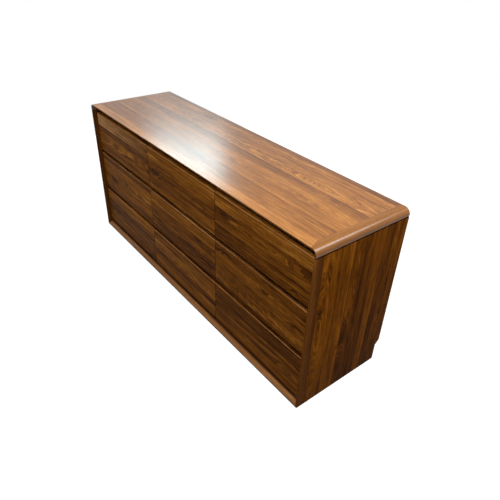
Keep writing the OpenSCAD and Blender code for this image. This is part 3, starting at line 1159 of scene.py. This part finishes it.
@dataclass
class Studio:
    """The floor, the surroundings, the lamps and the camera.

    Attributes:
        floor_middle: Middle of the floor's disc.
        floor_reach: The disc's radius.
        floor_points: How many points its rim has.
        floor_tone: Tone of the floor where it only lights the dresser.
        floor_seen_tone: Its tone where it is seen.
        floor_glow: Its own glow where it is seen, near the dresser and far from it.
        glow_span: Distances from the origin at which it has those two glows.
        ambient: Strength of the surroundings where they only light the dresser.
        lamps: The lamps.
        camera_place: Where the camera stands.
        camera_azimuth: How far it is turned to the left of +Y.
        camera_tilt: How far it looks down.
        camera_roll: How far it leans over.
        focal_share: Its focal length as a share of the film's width.
    """

    floor_middle: tuple[float, float] = (0.9, -0.4)
    floor_reach: float = 3.4
    floor_points: int = 96
    floor_tone: float = 0.07
    floor_seen_tone: float = 0.3
    floor_glow: tuple[float, float] = (0.84, 1.0)
    glow_span: tuple[float, float] = (1.2, 2.4)
    ambient: float = 0.26
    lamps: tuple[Softbox, ...] = (
        Softbox("ceiling", (1.2, -1.3, 3.4), (0.2, 0.0, 0.5), (2.0, 2.0), 108.0),
        Softbox("behind", (1.83, 1.30, 2.47), (0.88, -0.1, 0.77), (0.90, 0.45), 42.0),
        Softbox("window", (-3.44, 1.87, 2.68), (0.0, -0.25, 0.78), (0.95, 0.40), 27.0,
                (0.68, 0.90, 0.96)),
    )
    camera_place: tuple[float, float, float] = (1.7588, -1.2222, 1.6385)
    camera_azimuth: float = math.radians(50.81)
    camera_tilt: float = math.radians(33.95)
    camera_roll: float = math.radians(2.28)
    focal_share: float = 0.9666

    def build(self) -> None:
        """Makes the camera, the floor, the surroundings and the lamps."""
        self._camera()
        self._floor()
        self._world()
        for lamp in self.lamps:
            lamp.build()
        bpy.context.scene.view_settings.view_transform = "Standard"

    def _camera(self) -> None:
        """Places the camera by its heading, tilt and roll.

        The forward direction is the heading turned down by the tilt; right is level and square
        to it, and right and up are then turned by the roll.
        """
        heading, tilt, roll = self.camera_azimuth, self.camera_tilt, self.camera_roll
        ahead = Vector((-math.sin(heading) * math.cos(tilt), math.cos(heading) * math.cos(tilt),
                        -math.sin(tilt)))
        level = Vector((math.cos(heading), math.sin(heading), 0.0))
        rise = level.cross(ahead)
        right = math.cos(roll) * level + math.sin(roll) * rise
        up = math.cos(roll) * rise - math.sin(roll) * level
        lens = bpy.data.cameras.new("view")
        lens.lens = lens.sensor_width * self.focal_share
        camera = bpy.data.objects.new("view", lens)
        turn = Matrix((right, up, -ahead)).transposed().to_4x4()
        camera.matrix_world = Matrix.Translation(self.camera_place) @ turn
        bpy.context.scene.collection.objects.link(camera)
        bpy.context.scene.camera = camera

    def _floor(self) -> None:
        """Makes the floor, a flat disc.

        The points of its rim are its middle plus its reach times the cosine and the sine of
        even angles.
        """
        angle = np.linspace(0.0, 2 * np.pi, self.floor_points, endpoint=False)
        rim = np.stack([np.cos(angle), np.sin(angle), np.zeros_like(angle)], axis=1)
        rim = rim * self.floor_reach + np.array([*self.floor_middle, 0.0])
        mesh = bpy.data.meshes.new("floor")
        mesh.from_pydata(rim.tolist(), [], [list(range(len(rim)))])
        mesh.materials.append(self._floor_paper())
        floor = bpy.data.objects.new("floor", mesh)
        bpy.context.scene.collection.objects.link(floor)

    def _floor_paper(self) -> bpy.types.Material:
        """Builds the floor's material.

        Camera, gloss and transmission rays see a glow that grows from the middle to pure white
        at the rim, plus a share of the light that falls there, so that the shadow stays and the
        rim does not show. To all other rays it is dim and throws little light back.

        Returns:
            The material.
        """
        made = bpy.data.materials.new("floor_paper")
        made.use_nodes = True
        g = Graph(made.node_tree)
        place = g.add("ShaderNodeTexCoord").outputs["Object"]
        away = g.add("ShaderNodeVectorMath", {0: place}, operation="LENGTH").outputs["Value"]
        strength = g.span(away, *self.glow_span, self.floor_glow)
        glow = g.add("ShaderNodeEmission", {"Strength": strength})
        dim, pale = ((tone, tone, tone) for tone in (self.floor_tone, self.floor_seen_tone))
        seen = g.seen()
        lit = g.add("ShaderNodeBsdfDiffuse", {"Color": g.blend(seen, dim, pale)})
        both = g.add("ShaderNodeAddShader", {0: lit.outputs[0], 1: glow.outputs[0]})
        shown = g.add("ShaderNodeMixShader", {0: seen, 1: lit.outputs[0], 2: both.outputs[0]})
        g.add("ShaderNodeOutputMaterial", {"Surface": shown.outputs[0]})
        return made

    def _world(self) -> None:
        """Makes the surroundings: white where they are seen, dimmer where they give light."""
        world = bpy.data.worlds.new("surroundings")
        world.use_nodes = True
        g = Graph(world.node_tree)
        strength = g.span(g.seen(), 0.0, 1.0, (self.ambient, 1.0))
        white = (1.0, 1.0, 1.0, 1.0)
        sky = g.add("ShaderNodeBackground", {"Strength": strength, "Color": white})
        g.add("ShaderNodeOutputWorld", {"Surface": sky.outputs[0]})
        bpy.context.scene.world = world


# ---- the whole ----


def drawers() -> list[Drawer]:
    """Returns the nine drawers, row by row, each cut from its own place in the log."""
    places = [(row, column) for row in ROWS for column in COLUMNS]
    return [Drawer(row, column, index * DRAWER_STEP) for index, (row, column) in enumerate(places)]


def main() -> None:
    """Builds the studio and the dresser."""
    logging.basicConfig(level=logging.INFO, format="%(name)s: %(message)s")
    for assembly in (Studio(), Top(), Ends(), Carcase(), *drawers()):
        assembly.build()


if __name__ == "__main__":
    main()
